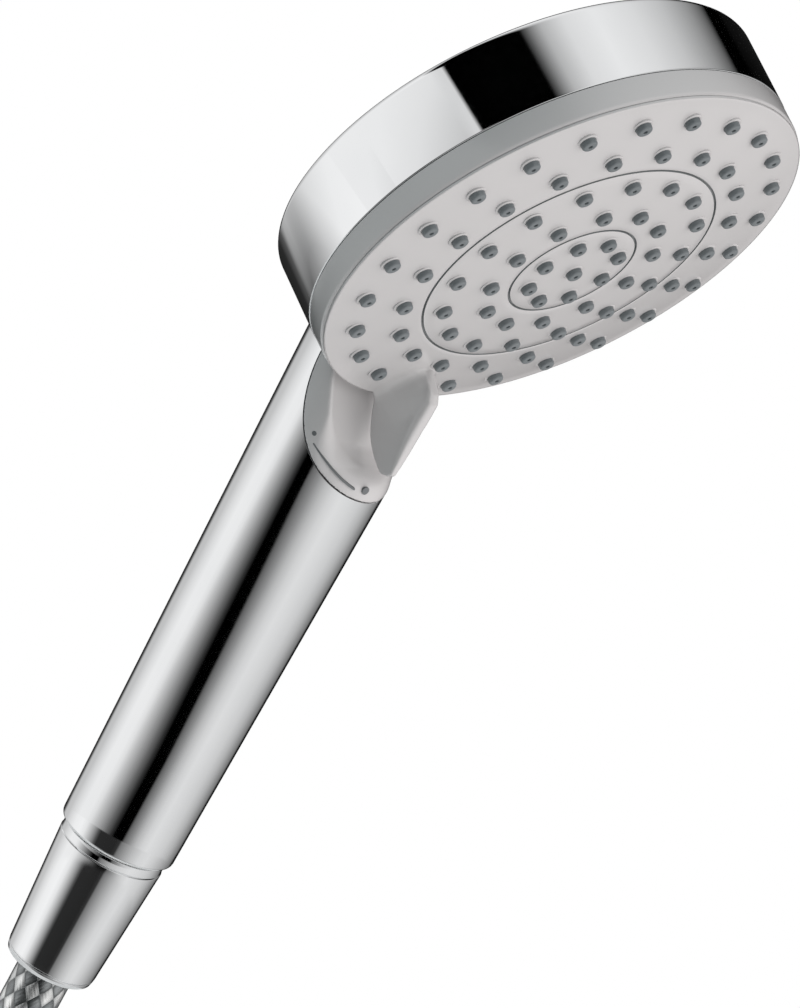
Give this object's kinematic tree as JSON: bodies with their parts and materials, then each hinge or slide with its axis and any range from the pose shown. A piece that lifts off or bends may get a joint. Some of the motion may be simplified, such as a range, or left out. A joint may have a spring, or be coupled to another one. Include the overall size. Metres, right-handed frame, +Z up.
{
  "type": "handheld shower head",
  "caption": "Round chrome handheld shower head with a domed grey spray face, a selector fin, a straight handle and a braided hose.",
  "frame": {"origin": "centre of the handle's lower end, where the conical nut starts and a wall holder takes the weight", "axes": "+Z up the handle's axis, -Y towards the side the spray face looks to, +X across, so the face's normal leans 25.2 degrees down from -Y"},
  "size_m": [0.1758, 0.1785, 0.4738],
  "materials": {
    "chrome": "mirror-bright chrome plate",
    "nut_chrome": "polished chrome on brass",
    "satin_grey": "satin, fine moulded texture",
    "mark_grey": "pad-printed, matt",
    "silicone": "soft matt silicone",
    "black_plastic": "moulded, fine grain",
    "white_plastic": "extruded, satin",
    "green_plastic": "moulded insert",
    "steel": "bright zinc-plated",
    "spring_steel": "rolled strip",
    "brass": "turned brass",
    "seal_rubber": "matt nitrile rubber",
    "hose_braid": "silver braid under a clear sheath",
    "tie_band": "woven hook-and-loop band"
  },
  "bodies": {
    "handpiece": {"housing": "chrome", "front_ring": "satin_grey", "mode_marks": "mark_grey", "carrier": "black_plastic", "carrier_screws": "steel", "port_seals": "seal_rubber", "detent_spring": "spring_steel", "water_tube": "white_plastic", "tube_seals": "seal_rubber", "inlet_nipple": "white_plastic", "nipple_seal": "seal_rubber", "flow_restrictor": "green_plastic", "filter_screen": "spring_steel", "sealing_washer": "seal_rubber", "hose_nipple": "brass", "hose_ferrule": "steel", "hose_run": "hose_braid", "hose_coil": "hose_braid", "hose_tail": "hose_braid", "coil_tie": "tie_band", "wall_ferrule": "steel", "wall_nipple": "brass", "wall_washer": "seal_rubber"},
    "face": {"spray_face": "satin_grey", "nozzle_mat": "silicone", "chamber_plate": "black_plastic", "hub_seal": "seal_rubber", "hub_washer": "steel", "centre_screw": "steel"},
    "cone_nut": {"cone_nut": "nut_chrome"},
    "hex_nut": {"hex_nut": "nut_chrome"}
  },
  "joints": [
    {"name": "face_turn", "type": "hinge", "parent": "handpiece", "child": "face", "pos_m": [0, -0.0298, 0.1543], "axis": [0, 0.9048, 0.4258], "range_deg": [0, 14]},
    {"name": "cone_nut_spin", "type": "hinge", "parent": "handpiece", "child": "cone_nut", "pos_m": [0, 0, 0], "axis": [0, 0, 1], "continuous": true},
    {"name": "hex_nut_spin", "type": "hinge", "parent": "handpiece", "child": "hex_nut", "pos_m": [0, 0.119, -0.2505], "axis": [-1, 0, 0], "continuous": true}
  ]
}
